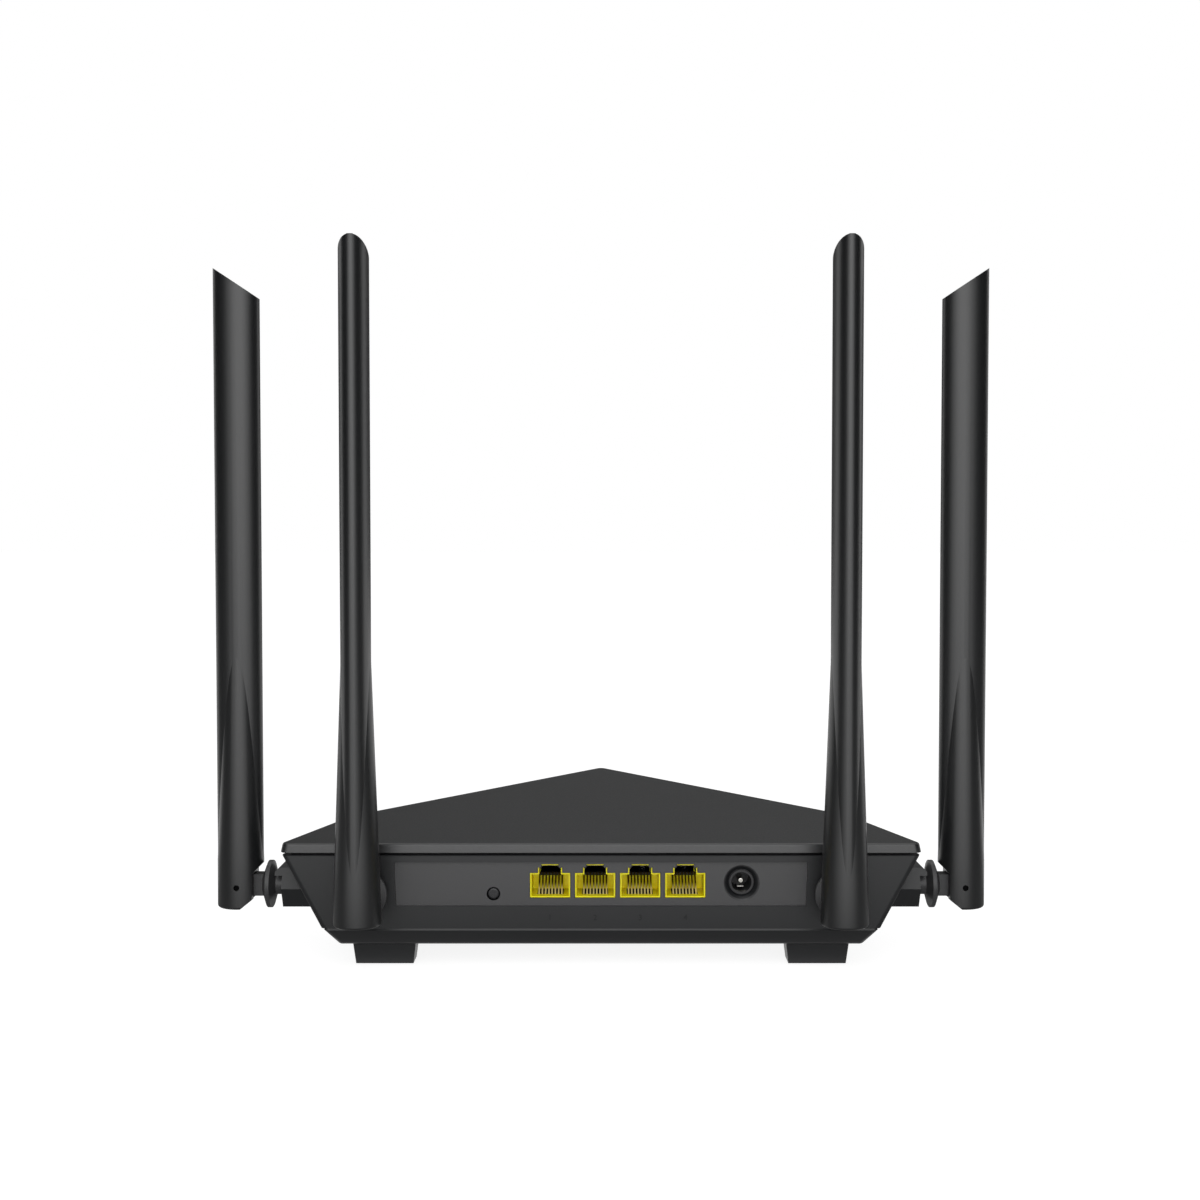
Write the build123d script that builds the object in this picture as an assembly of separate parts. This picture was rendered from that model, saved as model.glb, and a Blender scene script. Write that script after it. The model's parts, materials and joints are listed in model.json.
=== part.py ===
from build123d import *
import os
from math import hypot, radians, tan

# Wireless router with four antennas, in millimetres: X along the rear wall, +Y towards the nose, +Z up.
# It is modelled with the rear wall's outer face at Y = 0, and moved to the box centre when it is written.

# Case plan at the seam, and its section
case_half_width = 100.0
kink_inset = 16.4
kink_y = 41.4
nose_y = 129.2
seam_height = 35.5
lid_climb = 2.3
side_draft = 26.0
wall = 2.0
rear_wall = 2.6
ledge_height = 12.6
ledge_step = 0.8
rear_lip = 0.6
belly_height = 7.0
belly_run = 3.2
floor_thick = 2.0
rear_corner_radius = 1.8
kink_radius = 8.0
nose_radius = 2.0
least_corner_radius = 0.5
belly_corner_radius = 2.0
seam_bevel = 0.3
belly_edge_radius = 1.9

# Lid
lid_overhang = 0.3
seam_gap = 0.8
band_height = 2.8
band_draft = 8.0
lid_thick = 2.0
lid_edge_radius = 0.7
lip_depth = 1.4
lip_wall = 1.4
lip_fit = 0.15

# Recessed connector strip
strip_half_width = 64.2
strip_side_lean = 0.6
strip_bottom = 19.6
strip_top = 33.3
strip_depth = 0.9

# Main board
board_top = 19.3
board_thick = 1.6
board_inset = 30.0
board_gap = 0.4
standoff_radius = 3.0
board_screw_radius = 1.2
board_screw_head = 2.6
board_screw_head_height = 1.6
board_screw_grip = 4.0
screw_fit = 0.1
rear_standoff_spot = (56.0, 9.0)
front_standoff_x = 17.0
front_standoff_inset = 29.695

# Network jacks
jack_count = 4
jack_pitch = 14.0
jack_row_x = 5.2
jack_width = 13.8
jack_depth = 15.0
jack_top = 33.2
jack_nose_setback = 0.2
mouth_width = 12.4
mouth_bottom = 22.1
mouth_top = 29.7
latch_step_width = 7.4
latch_step_top = 31.4
latch_top_width = 5.3
latch_top = 32.4
mouth_rim = 0.4
mouth_depth = 11.0
jack_fit = 0.12
contact_count = 8
contact_pitch = 1.016
contact_width = 0.46
contact_thick = 0.3
contact_rise = 5.4
contact_front = 3.0
comb_slot_width = 0.6
comb_slot_depth = 2.0
pit_margin = 0.3
pit_floor_thick = 0.8

# Power jack
power_x = 43.7
power_z = 26.7
power_body_width = 9.2
power_body_depth = 13.0
power_shoulder = 4.6
power_ring_radius = 3.85
power_hole_radius = 3.1
power_hole_depth = 9.5
power_pin_radius = 1.0
power_pin_length = 8.0
power_dish_radius = 5.6
power_fit = 0.15
spring_width = 2.0
spring_thick = 0.3
spring_length = 6.5

# Reset button and its switch
button_x = -33.4
button_z = 23.3
button_radius = 1.85
button_fit = 0.28
button_setback = 0.3
button_dome = 0.6
button_travel = 0.4
switch_width = 6.2
switch_front = 4.2
switch_depth = 3.6
switch_socket_depth = 1.6
switch_fit = 0.08

# Feet
foot_width = 19.6
foot_depth = 10.0
foot_taper = 0.8
rear_foot_inset = 32.2
rear_foot_y = 9.2
front_foot_x = 19.0
front_foot_y = 62.0
front_foot_width = 15.0
pad_margin = 1.6
pad_proud = 0.4
pad_sink = 0.8
pad_fit = 0.1

# Lid screws, driven from below through posts
side_post_y = 22.0
side_post_gap = 2.783
front_post_gap = 0.105
post_radius = 4.2
post_top = 25.9
post_well_radius = 3.2
post_seat = 20.9
lid_screw_radius = 1.4
lid_screw_length = 10.0
lid_screw_head = 2.8
lid_screw_head_height = 1.8
lid_boss_radius = 3.4

# Vents and wall hooks in the floor
vent_rows = [26.0, 48.0]
vent_count = 9
vent_pitch = 6.0
vent_width = 2.0
vent_length = 14.0
hook_x = 40.0
hook_y = 34.0
hook_hole_radius = 4.0
hook_slot_width = 4.0
hook_slot_length = 7.0

# Antenna hinges
rear_hinge_inset = 26.7
rear_hinge_z = 24.4
side_hinge_y = 22.0
side_hinge_z = 21.9
side_boss_reach = 2.0
bearing_length = 6.0
bearing_radius = 5.4
shaft_radius = 2.9
shaft_fit = 0.06
turn_play = 0.08
collar_radius = 3.5
collar_length = 2.0
split_width = 0.9
split_length = 5.0
neck_radius = 3.4
neck_length = 2.9
flange_radius = 7.6
flange_rim = 1.3
flange_inner_cone = 1.3
flange_outer_cone = 1.6
tongue_thick = 5.0
tongue_height = 7.0
tongue_clear = 0.3
pin_reach = 14.6
pin_radius = 0.9
pin_fit = 0.04
pin_recess = 1.1
lead_bore = 0.95
boss_half_height = 6.3
boss_half_depth = 8.5
boss_crown = 5.5
boss_wall = 2.0
boss_length = 45.0
hood_reach = 2.4
hood_gap = 0.5

# Antenna sleeve, measured from its pin
blade_width = 14.8
blade_thick = 9.0
base_thick = 14.5
base_shoulder_thick = 13.7
base_shoulder = 8.0
base_fade = 74.0
base_fade_width = 10.0
sleeve_above = 198.0
sleeve_below = 7.1
tip_drop = 9.8
base_edge_radius = 0.8
cheek_reach = 4.6
cheek_shoulder = 4.2
cheek_toe = 0.9
sleeve_wall = 1.2
cavity_floor = 6.0
cavity_roof = 14.0
strip_thick = 0.8
strip_length = 144.0
strip_fit = 0.3
lead_radius = 0.57
lead_straight = 16.5
lead_bend = 4.0
lead_drop_run = 9.0
lead_end_gap = 1.0
feed_length = 60.0
feed_fit = 0.25

# Board fittings
processor_spot = (16.0, 40.0)
processor_size = 17.0
processor_height = 1.4
thermal_pad_height = 0.6
sink_size = 24.0
sink_base = 2.0
sink_fin_height = 6.0
sink_fin_count = 6
sink_fin_thick = 1.4
radio_spot = (-18.0, 38.0)
radio_size = 9.0
radio_height = 1.2
shield_width = 24.0
shield_depth = 18.0
shield_height = 3.0
shield_wall = 0.4
transformer_y = 23.0
transformer_width = 12.0
transformer_depth = 7.0
transformer_height = 5.5
capacitor_spots = [(38.0, 24.0), (45.5, 22.5)]
capacitor_radius = 3.2
capacitor_height = 9.0
socket_radius = 1.3
socket_height = 1.2
rear_socket_spot = (50.0, 14.5)
side_socket_inset = 54.0
side_socket_y = 31.0
lamp_count = 5
lamp_pitch = 7.0
lamp_start = 44.0
lamp_size = 2.0
lamp_height = 2.2
lamp_setback = 1.4
guide_radius = 0.9
guide_fit = 0.1
guide_proud = 0.4
guide_bar = 2.0
guide_bar_place = 6.0

# Values worked out from the sizes above
big = 600.0
over = 1.0
touching = 1e-3
floor_top = belly_height + floor_thick
board_bottom = board_top - board_thick
body_front = rear_wall + jack_fit
jack_face = strip_depth + jack_nose_setback
jack_places = [jack_row_x + (i - (jack_count - 1) / 2) * jack_pitch for i in range(jack_count)]
flange_face = neck_length + flange_inner_cone + flange_rim + flange_outer_cone
climb = tan(radians(lid_climb))
side_lean = tan(radians(side_draft))
belly_lean = belly_run / (ledge_height - belly_height)
kink_half_width = case_half_width - kink_inset
plan_corners = [(-case_half_width, 0), (case_half_width, 0), (kink_half_width, kink_y), (0, nose_y),
                (-kink_half_width, kink_y)]
rear_foot_x = case_half_width - rear_foot_inset
rear_hinge_x = case_half_width - rear_hinge_inset
side_boss_face = case_half_width + side_boss_reach


def board_edge_x(y):
    return case_half_width - (kink_inset * y + board_inset * hypot(kink_inset, kink_y)) / kink_y


# Lid posts and front standoffs keep their distance from the board's edge and its point
board_point_y = nose_y - board_inset * hypot(kink_half_width, nose_y - kink_y) / kink_half_width
standoff_spots = [(side * x, y) for x, y in (rear_standoff_spot,
                  (front_standoff_x, board_point_y - front_standoff_inset)) for side in (-1, 1)]
side_post_x = board_edge_x(side_post_y) + post_radius + side_post_gap
post_spots = [(-side_post_x, side_post_y), (side_post_x, side_post_y),
              (0, board_point_y + post_radius + front_post_gap)]
side_socket_spot = (case_half_width - side_socket_inset, side_socket_y)


def seam_level(raise_by):
    return Plane((0, 0, seam_height + raise_by), x_dir=(1, 0, 0), z_dir=(0, -climb, 1))


def block(x_span, y_span, z_span):
    sizes = [high - low for low, high in (x_span, y_span, z_span)]
    return Pos(x_span[0], y_span[0], z_span[0]) * Box(*sizes, align=Align.MIN)


def rod(radius, start, direction, length):
    return extrude(Plane(start, z_dir=direction) * Circle(radius), amount=length)


def rectangle(x_span, z_span):
    width = x_span[1] - x_span[0]
    return Pos(x_span[0], z_span[0]) * Rectangle(width, z_span[1] - z_span[0], align=Align.MIN)


def from_rear(outline, y_span):
    return Pos(0, y_span[0], 0) * extrude(Plane.XZ * outline, amount=y_span[0] - y_span[1])


# Case walls are planes through the seam line that lean inwards going down
def facet(start, end, lean, inset):
    along = end - start
    out = Vector(along.Y, -along.X).normalized()
    return Plane(start - out * inset, z_dir=along.cross(out * lean + Vector(0, 0, 1)))


def drop_to(start, end, lean, height):
    along = end - start
    out = Vector(along.Y, -along.X).normalized()
    down = out * lean + Vector(0, 0, 1)
    return [point - down * (point.Z - height) for point in (start, end)]


def seam_lines(raise_by):
    corners = [Vector(x, y, seam_height + raise_by + y * climb) for x, y in plan_corners]
    return list(zip(corners, corners[1:] + corners[:1]))


def enclosed(facets):
    solid = Box(big, big, big)
    for plane in facets:
        solid = split(solid, bisect_by=plane, keep=Keep.BOTTOM)
    return solid


def between(low, high):
    return [-low, high]


def case_shape(raise_by, leans, insets, low, high):
    lines = seam_lines(raise_by)
    sides = [facet(*line, lean, inset) for line, lean, inset in zip(lines, leans, insets)]
    return enclosed(sides + between(low, high))


def round_corners(solid, radii):
    upright = [edge for edge in solid.edges() if abs((edge % 0.5).Z) > 0.5]
    ranked = ShapeList(upright).sort_by(lambda edge: edge.center().Y)
    for edges, radius in zip((ranked[:2], ranked[2:4], ranked[4:]), radii):
        middles = [edge.center() for edge in edges]
        near = [edge for edge in solid.edges() if any((edge.center() - m).length < touching for m in middles)]
        solid = fillet(near, radius)
    return solid


def tub_shapes(side_inset, rear_inset, bottom, radii):
    insets = [rear_inset] + [side_inset] * 4
    leans = [0] + [side_lean] * 4
    ledge = Plane((0, 0, ledge_height))
    walls = case_shape(0, leans, insets, ledge, seam_level(0))
    ledge_lines = [drop_to(*line, lean, ledge_height) for line, lean in zip(seam_lines(0), leans)]
    steps = [inset + step for inset, step in zip(insets, [-rear_lip] + [ledge_step] * 4)]
    belly_sides = [facet(*line, belly_lean, step) for line, step in zip(ledge_lines, steps)]
    belly = enclosed(belly_sides + between(Plane((0, 0, bottom)), ledge))
    return round_corners(walls, radii), belly


def corner_radii(grow):
    radii = (rear_corner_radius, kink_radius, nose_radius)
    return [max(radius + grow, least_corner_radius) for radius in radii]


def hinge_places():
    rear = [(side * rear_hinge_x, 0, rear_hinge_z, -90) for side in (-1, 1)]
    flank = [(side * side_boss_face, side_hinge_y, side_hinge_z, 90 - 90 * side) for side in (-1, 1)]
    names = ("rear_left", "rear_right", "side_left", "side_right")
    return {name: Pos(x, y, z) * Rot(0, 0, turn) for name, (x, y, z, turn) in zip(names, rear + flank)}


def boss_prism(inset, x_span):
    flat = boss_half_height - inset
    half = [(boss_half_depth - inset, 0), (boss_crown - inset / 2, flat), (inset / 2 - boss_crown, flat)]
    outline = Polygon(*half, *[(-y, -z) for y, z in half])
    return Pos(x_span[0], 0, 0) * extrude(Plane.YZ * outline, amount=x_span[1] - x_span[0])


def side_boss():
    hood_bottom = neck_radius + hood_gap
    hood = boss_prism(0, (0, hood_reach)) & block((0, hood_reach), (-big, big), (hood_bottom, big))
    hood = chamfer(hood.edges().group_by(Axis.X)[-1].group_by(Axis.Z)[-1], hood_reach / 2)
    return boss_prism(0, (-boss_length, 0)) + hood


def mouth_outline(grow):
    spans = [(mouth_width, mouth_bottom, mouth_top), (latch_step_width, mouth_top, latch_step_top),
             (latch_top_width, latch_step_top, latch_top)]
    outline = Sketch()
    for width, low, high in spans:
        outline += rectangle((-width / 2 - grow, width / 2 + grow), (low - grow, high + grow))
    return outline


def rear_openings():
    top = strip_half_width
    bottom = strip_half_width - strip_side_lean
    strip = Polygon((-bottom, strip_bottom), (bottom, strip_bottom), (top, strip_top), (-top, strip_top))
    cuts = from_rear(strip, (-over, strip_depth))
    for x in jack_places:
        cuts += from_rear(Pos(x, 0) * mouth_outline(jack_fit), (0, rear_wall + over))
    hole = power_ring_radius + power_fit
    dish_depth = rear_wall - strip_depth
    dish = Plane((power_x, strip_depth, power_z), z_dir=(0, 1, 0)) * Cone(
        power_dish_radius, hole, dish_depth, align=(Align.CENTER, Align.CENTER, Align.MIN))
    cuts += dish + rod(hole, (power_x, 0, power_z), (0, 1, 0), rear_wall + over)
    return cuts + rod(button_radius + button_fit, (button_x, 0, button_z), (0, 1, 0), rear_wall + over)


def foot(width):
    top = Rectangle(width, foot_depth)
    bottom = Rectangle(width - 2 * foot_taper, foot_depth - 2 * foot_taper)
    return loft([Pos(0, 0, belly_height) * top, Pos(0, 0, pad_proud) * bottom])


def foot_pad(width, fit, top):
    inset = 2 * (foot_taper + pad_margin - fit)
    return block_on(width - inset, foot_depth - inset, 0, top)


def block_on(width, depth, low, high):
    return Pos(0, 0, low) * Box(width, depth, high - low, align=(Align.CENTER, Align.CENTER, Align.MIN))


def foot_places():
    rear = [(side * rear_foot_x, rear_foot_y, foot_width) for side in (-1, 1)]
    front = [(side * front_foot_x, front_foot_y, front_foot_width) for side in (-1, 1)]
    return rear + front


def floor_openings():
    cuts = Part()
    for row in vent_rows:
        for i in range(vent_count):
            x = (i - (vent_count - 1) / 2) * vent_pitch
            cuts += Pos(x, row, belly_height) * block_on(vent_width, vent_length, -over, floor_thick + over)
    for x in (-hook_x, hook_x):
        through = floor_top + over
        slot = block_on(hook_slot_width, hook_slot_length, 0, through)
        end = rod(hook_slot_width / 2, (x, hook_y + hook_slot_length, 0), (0, 0, 1), through)
        cuts += Pos(x, hook_y + hook_slot_length / 2) * slot
        cuts += end + rod(hook_hole_radius, (x, hook_y, 0), (0, 0, 1), through)
    return cuts


def bottom_case():
    walls, belly = tub_shapes(0, 0, belly_height, corner_radii(0))
    seam_face = walls.faces().sort_by(lambda face: face.normal_at().Z)[-1]
    walls = chamfer(seam_face.outer_wire().edges(), seam_bevel)
    hollow, hollow_belly = tub_shapes(wall, rear_wall, floor_top, corner_radii(-wall))
    belly = round_corners(belly, (belly_corner_radius, kink_radius, belly_corner_radius))
    belly = chamfer(belly.edges().sort_by(Axis.Y)[0], rear_lip)
    underside = belly.faces().sort_by(Axis.Z)[0]
    case = walls + fillet(underside.outer_wire().edges(), belly_edge_radius)
    flank = [place for name, place in hinge_places().items() if name.startswith("side")]
    for place in flank:
        case += place * side_boss()
    case = case - hollow - hollow_belly
    for place in flank:
        case -= place * boss_prism(boss_wall, (-boss_length, -bearing_length))
    for place in hinge_places().values():
        case += place * rod(bearing_radius, (-bearing_length, 0, 0), (1, 0, 0), bearing_length)
        case -= place * rod(shaft_radius + shaft_fit, (-bearing_length - over, 0, 0), (1, 0, 0),
                            bearing_length + 2 * over)
    case -= rear_openings() + floor_openings()
    for x, y, width in foot_places():
        case += Pos(x, y) * foot(width)
        case -= Pos(x, y) * foot_pad(width, pad_fit, pad_proud + pad_sink)
    for x, y in standoff_spots:
        foundation = belly_height + over
        case += rod(standoff_radius, (x, y, foundation), (0, 0, 1), board_bottom - foundation)
        case -= rod(board_screw_radius + screw_fit, (x, y, floor_top), (0, 0, 1), board_bottom)
    for x, y in post_spots:
        case += rod(post_radius, (x, y, belly_height), (0, 0, 1), post_top - belly_height)
        case -= rod(post_well_radius, (x, y, 0), (0, 0, 1), post_seat)
        case -= rod(lid_screw_radius + screw_fit, (x, y, 0), (0, 0, 1), post_top + over)
    return case


def top_cover():
    lean = -tan(radians(band_draft))
    plate = case_shape(seam_gap, [lean] * 5, [-lid_overhang] * 5, seam_level(seam_gap),
                       seam_level(seam_gap + band_height))
    plate = round_corners(plate, corner_radii(lid_overhang))
    upper = plate.faces().sort_by(lambda face: face.normal_at().Z)[-1]
    plate = fillet(upper.outer_wire().edges(), lid_edge_radius)
    leans = [0] + [side_lean] * 4
    outer, inner = [
        case_shape(0, leans, [rear_wall + gap] + [wall + gap] * 4, seam_level(-lip_depth), seam_level(top))
        for gap, top in ((lip_fit, seam_gap), (lip_fit + lip_wall, seam_gap + band_height - lid_thick))]
    cover = plate + round_corners(outer, corner_radii(-wall - lip_fit)) - inner
    for x, y in post_spots:
        top = seam_height + seam_gap + y * climb
        cover += rod(lid_boss_radius, (x, y, post_top), (0, 0, 1), top + band_height / 2 - post_top)
        depth = lid_screw_length - post_top + post_seat + over
        cover -= rod(lid_screw_radius + screw_fit / 2, (x, y, post_top - over), (0, 0, 1), depth + over)
    return cover


# Main board and what stands on it
def main_board():
    insets = [rear_wall + board_gap] + [board_inset] * 4
    board = case_shape(0, [0] * 5, insets, Plane((0, 0, board_bottom)), Plane((0, 0, board_top)))
    for x, y in standoff_spots:
        board -= rod(board_screw_radius + screw_fit, (x, y, 0), (0, 0, 1), board_top + over)
    return board


def on_board(spot, shape):
    return Pos(spot[0], spot[1], board_top) * shape


def network_jack():
    nose = from_rear(mouth_outline(0), (jack_face, body_front))
    body_back = body_front + jack_depth
    body = block((-jack_width / 2, jack_width / 2), (body_front, body_back), (board_top, jack_top))
    half = mouth_width / 2 - mouth_rim
    mouth = from_rear(rectangle((-half, half), (mouth_bottom + mouth_rim, mouth_top - mouth_rim)),
                      (0, jack_face + mouth_depth))
    step = latch_step_width / 2 - mouth_rim
    top = latch_top_width / 2 - mouth_rim
    sill = mouth_bottom + contact_rise
    shoulder = latch_step_top - mouth_rim
    crest = latch_top - mouth_rim
    latch = Polygon((-step, sill), (step, sill), (step, shoulder), (top, crest), (-top, crest),
                    (-step, shoulder))
    row = contact_pitch * (contact_count - 1) / 2 + contact_width / 2 + pit_margin
    pit = block((-row, row), (jack_face + contact_front, jack_face + mouth_depth),
                (board_top + pit_floor_thick, mouth_bottom + mouth_rim))
    housing = nose + body - mouth - pit - from_rear(latch, (0, body_back + over))
    for x in contact_places():
        slot = rectangle((x - comb_slot_width / 2, x + comb_slot_width / 2),
                         (mouth_bottom + mouth_rim, mouth_top - mouth_rim))
        housing -= from_rear(slot, (jack_face, jack_face + mouth_depth + comb_slot_depth))
    return housing


def contact_places():
    return [(i - (contact_count - 1) / 2) * contact_pitch for i in range(contact_count)]


def jack_contacts():
    floor = mouth_bottom + mouth_rim
    front = jack_face + contact_front
    back = jack_face + mouth_depth
    leg = rectangle((front, front + contact_thick), (board_top + pit_floor_thick, floor))
    slant = Polygon((front, floor), (front + 2 * contact_thick, floor), (back, floor + contact_rise),
                    (back - 2 * contact_thick, floor + contact_rise))
    spring = extrude(Plane.YZ * (leg + slant), amount=contact_width / 2, both=True)
    return [Pos(x, 0, 0) * spring for x in contact_places()]


def power_jack():
    top = power_z + power_shoulder
    half = power_body_width / 2
    body_back = body_front + power_body_depth
    body = block((power_x - half, power_x + half), (body_front, body_back), (board_top, top))
    face = strip_depth + (rear_wall - strip_depth) / 2
    ring = rod(power_ring_radius, (power_x, face, power_z), (0, 1, 0), body_front - face)
    hole = rod(power_hole_radius, (power_x, 0, power_z), (0, 1, 0), body_front + power_hole_depth)
    return body + ring - hole


def power_pin():
    back = body_front + power_hole_depth
    pin = rod(power_pin_radius, (power_x, back, power_z), (0, -1, 0), power_pin_length)
    return fillet(pin.edges().group_by(Axis.Y)[0], power_pin_radius / 2)


def power_spring():
    back = body_front + power_hole_depth
    low = power_z - power_hole_radius
    outline = Polygon((back, low + spring_thick), (back - spring_length, low + 3 * spring_thick),
                      (back - spring_length, low + 4 * spring_thick), (back, low + 2 * spring_thick))
    return Pos(power_x, 0, 0) * extrude(Plane.YZ * outline, amount=spring_width / 2, both=True)


def reset_button():
    front = strip_depth + button_setback
    length = switch_front + switch_socket_depth - button_travel - switch_fit - front
    stem = rod(button_radius, (button_x, front, button_z), (0, 1, 0), length)
    return fillet(stem.edges().group_by(Axis.Y)[0], button_dome)


def reset_switch():
    half = switch_width / 2
    body = block((button_x - half, button_x + half), (switch_front, switch_front + switch_depth),
                 (board_top, button_z + half))
    return body - rod(button_radius + switch_fit, (button_x, 0, button_z), (0, 1, 0),
                      switch_front + switch_socket_depth)


def heat_sink():
    sink = block_on(sink_size, sink_size, 0, sink_base)
    for i in range(sink_fin_count):
        x = (i / (sink_fin_count - 1) - 0.5) * (sink_size - sink_fin_thick)
        sink += Pos(x, 0, 0) * block_on(sink_fin_thick, sink_size, 0, sink_base + sink_fin_height)
    return sink


def radio_shield():
    can = block_on(shield_width, shield_depth, 0, shield_height)
    return can - block_on(shield_width - 2 * shield_wall, shield_depth - 2 * shield_wall, -over,
                          shield_height - shield_wall)


def screw(radius, length, head_radius, head_height):
    return rod(radius, (0, 0, 0), (0, 0, -1), length) + rod(head_radius, (0, 0, 0), (0, 0, 1), head_height)


# Lamps on the front edge of the board shine through rods to the wall beside the nose
front_along = Vector(kink_half_width, kink_y - nose_y).normalized()
front_out = Vector(-front_along.Y, front_along.X)
lamp_z = board_top + lamp_height / 2


def lamp_line(i):
    return Vector(0, nose_y) + front_along * (lamp_start + i * lamp_pitch)


def lamp_frame(i, inset):
    return Plane(lamp_line(i) - front_out * inset + Vector(0, 0, lamp_z), x_dir=front_along, z_dir=front_out)


def guide_rods(grow):
    rods = []
    for i in range(lamp_count):
        start = board_inset + lamp_setback - lamp_size / 2
        end = (seam_height + lamp_line(i).Y * climb - lamp_z) * side_lean - guide_proud
        rods.append(extrude(lamp_frame(i, start) * Circle(guide_radius + grow), amount=start - end))
    return rods


def light_guide():
    middle = (lamp_count - 1) / 2
    inset = board_inset + lamp_setback - guide_bar_place
    bar = extrude(lamp_frame(middle, inset) * Rectangle((lamp_count - 1) * lamp_pitch, 2 * guide_radius),
                  amount=guide_bar)
    return bar + guide_rods(0)


def status_lamps():
    inset = board_inset + lamp_setback
    lamp = Box(lamp_size, lamp_height, lamp_size)
    return [lamp_frame(i, inset) * lamp for i in range(lamp_count)]


# Antenna, with its hinge seat at the origin, +X outwards and +Z up
def knuckle():
    seat = turn_play
    shaft_end = -bearing_length - turn_play
    collar_end = shaft_end - collar_length
    rim_start = neck_length + flange_inner_cone
    outline = [(collar_end, 0), (collar_end, shaft_radius), (shaft_end - collar_length / 3, collar_radius),
               (shaft_end, collar_radius), (shaft_end, shaft_radius), (seat, shaft_radius),
               (seat, neck_radius), (neck_length, neck_radius), (rim_start, flange_radius),
               (rim_start + flange_rim, flange_radius), (flange_face, tongue_height / 2), (flange_face, 0)]
    turned = revolve(Plane.XZ * Polygon(*outline), Axis.X)
    slit = block((collar_end - over, collar_end + split_length), (-split_width / 2, split_width / 2),
                 (-big, big))
    turned = turned - slit - Rot(90, 0, 0) * slit
    tongue = Pos(pin_reach, 0, 0) * extrude(
        Plane.XZ * (Circle(tongue_height / 2) + rectangle((flange_face - pin_reach - flange_outer_cone, 0),
                                                        (-tongue_height / 2, tongue_height / 2))),
        amount=tongue_thick / 2, both=True)
    bore = rod(lead_bore, (collar_end - over, 0, 0), (1, 0, 0), pin_reach - collar_end - 2 * pin_radius)
    pin_hole = rod(pin_radius + pin_fit, (pin_reach, -tongue_thick, 0), (0, 1, 0), 2 * tongue_thick)
    return turned + tongue - bore - pin_hole


def ellipse_at(height, width, thick):
    return Pos(0, 0, height) * Ellipse(width / 2, thick / 2)


def sleeve_form():
    blade = extrude(ellipse_at(0, blade_width, blade_thick), amount=sleeve_above)
    foot_part = loft([ellipse_at(-sleeve_below, blade_width, base_thick),
                      ellipse_at(base_shoulder, blade_width, base_shoulder_thick)])
    foot_part = fillet(foot_part.edges().group_by(Axis.Z)[0], base_edge_radius)
    flare = loft([ellipse_at(base_shoulder, blade_width, base_shoulder_thick),
                  ellipse_at(base_fade, base_fade_width, blade_thick)])
    tip = Plane((blade_width / 2, 0, sleeve_above), x_dir=(0, 1, 0), z_dir=(-tip_drop, 0, blade_width))
    return split(blade + foot_part + flare, bisect_by=tip, keep=Keep.BOTTOM)


def antenna_sleeve():
    slot_reach = tongue_height / 2 + tongue_clear
    far = blade_width
    notch = Polygon((-far, cheek_shoulder + far - cheek_reach), (-cheek_reach, cheek_shoulder),
                    (-cheek_reach, -cheek_shoulder), (-cheek_toe, -sleeve_below), (-cheek_toe, -far),
                    (-far, -far))
    swing = rectangle((-far, 0), (-far, slot_reach)) + rectangle((0, slot_reach), (-far, 0))
    slot = Circle(slot_reach) + swing
    half_slot = tongue_thick / 2 + tongue_clear
    cavity = extrude(ellipse_at(cavity_floor, blade_width - 2 * sleeve_wall, blade_thick - 2 * sleeve_wall),
                     amount=sleeve_above - tip_drop - cavity_roof - cavity_floor)
    feed_hole = rod(lead_radius + feed_fit, (0, feed_offset(), 0), (0, 0, 1), cavity_floor + over)
    pin_hole = rod(pin_radius + pin_fit, (0, -blade_width, 0), (0, 1, 0), 2 * blade_width)
    sleeve = sleeve_form() - extrude(Plane.XZ * notch, amount=far, both=True)
    return sleeve - extrude(Plane.XZ * slot, amount=half_slot, both=True) - cavity - feed_hole - pin_hole


def feed_offset():
    return strip_thick / 2 + lead_radius


def hinge_pin():
    length = base_thick - 2 * pin_recess
    return rod(pin_radius, (0, -length / 2, 0), (0, 1, 0), length)


def radiator():
    width = blade_width - 2 * sleeve_wall - 2 * strip_fit
    return block_on(width, strip_thick, cavity_floor, cavity_floor + strip_length)


def antenna_feed():
    bottom = tongue_height / 2 + 2 * tongue_clear
    return rod(lead_radius, (0, feed_offset(), bottom), (0, 0, 1), feed_length)


def antenna_lead(name):
    side = -1 if name.endswith("left") else 1
    inside = pin_reach - 2 * pin_radius - lead_end_gap
    landing = board_top + socket_height + lead_radius
    if name.startswith("rear"):
        x, y = rear_socket_spot
        points = [(rear_hinge_x, -inside, rear_hinge_z), (rear_hinge_x, y, rear_hinge_z),
                  ((x + rear_hinge_x) / 2, y, landing), (x, y, landing)]
    else:
        x, y = side_socket_spot
        points = [(side_boss_face + inside, side_hinge_y, side_hinge_z),
                  (side_boss_face - lead_straight, side_hinge_y, side_hinge_z),
                  (side_boss_face - 2 * lead_straight, y, side_hinge_z),
                  (x + lead_drop_run, y, landing), (x, y, landing)]
    path = FilletPolyline(*[(side * px, py, pz) for px, py, pz in points], radius=lead_bend)
    return sweep(Plane(path @ 0, z_dir=path % 0) * Circle(lead_radius), path=path)


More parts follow.
